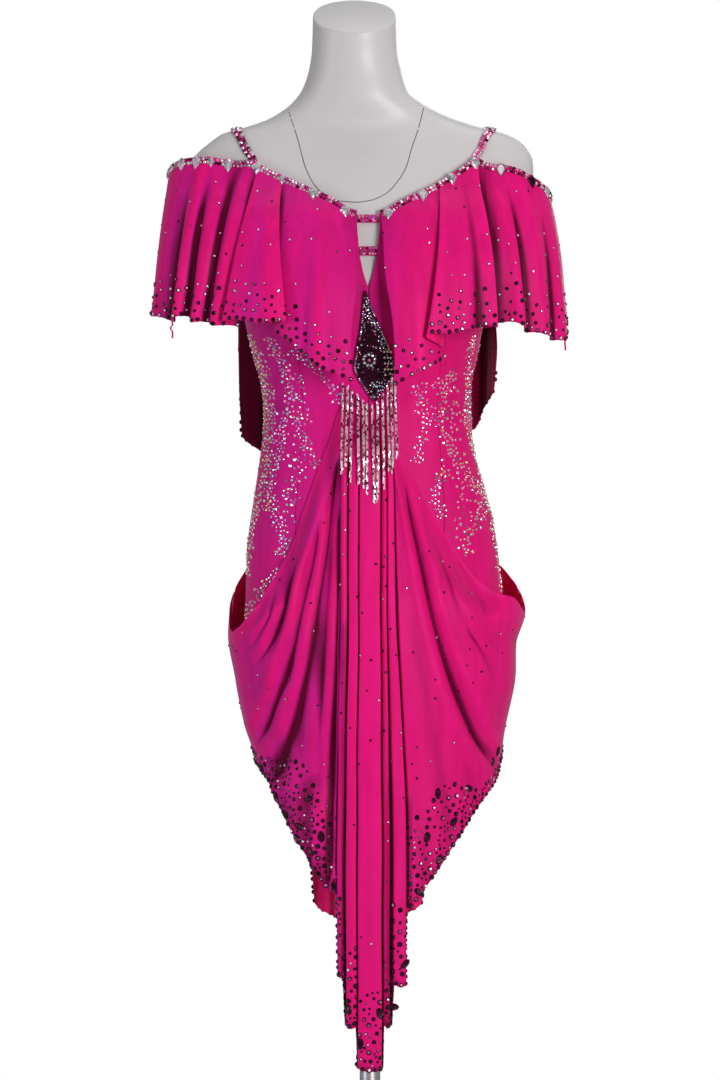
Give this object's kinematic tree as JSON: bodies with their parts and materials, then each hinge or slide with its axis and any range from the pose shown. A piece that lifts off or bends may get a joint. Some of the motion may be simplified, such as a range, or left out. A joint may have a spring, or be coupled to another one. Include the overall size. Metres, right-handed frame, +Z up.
{
  "type": "rumba dance dress on dress form",
  "caption": "Off-shoulder rumba dress with flounce, keyhole, hip cowls and a pointed pleated skirt, on a limbless dress form with pole stand.",
  "frame": {"origin": "middle of the base plate's underside, on the floor", "axes": "+Z up; the dress's front faces -Y and the wearer's left is at +X"},
  "size_m": [0.5083, 0.34, 1.571],
  "materials": {
    "cloth": "hot pink stretch satin jersey with a soft sheen",
    "jewels": "clear and iridescent cut crystals and silver bugle beads",
    "plaque": "dark cut stones set close on a stiff backing",
    "form": "smooth matt white",
    "stand": "satin steel"
  },
  "bodies": {
    "root": {"form_torso": "form", "stand_pole": "stand", "stand_base": "stand", "bodice_front_right": "cloth", "bodice_front_left": "cloth", "bodice_side_right": "cloth", "bodice_side_left": "cloth", "bodice_back": "cloth", "flounce_right": "cloth", "flounce_left": "cloth", "cape_back": "cloth", "skirt_front": "cloth", "skirt_back": "cloth", "neck_band_right": "jewels", "neck_band_left": "jewels", "neck_band_back": "jewels", "strap_right": "jewels", "strap_left": "jewels", "finger_loop_right": "cloth", "finger_loop_left": "cloth", "keyhole_bar_upper": "jewels", "keyhole_bar_lower": "jewels", "pendant_plaque": "plaque", "fringe": "jewels"}
  },
  "joints": []
}
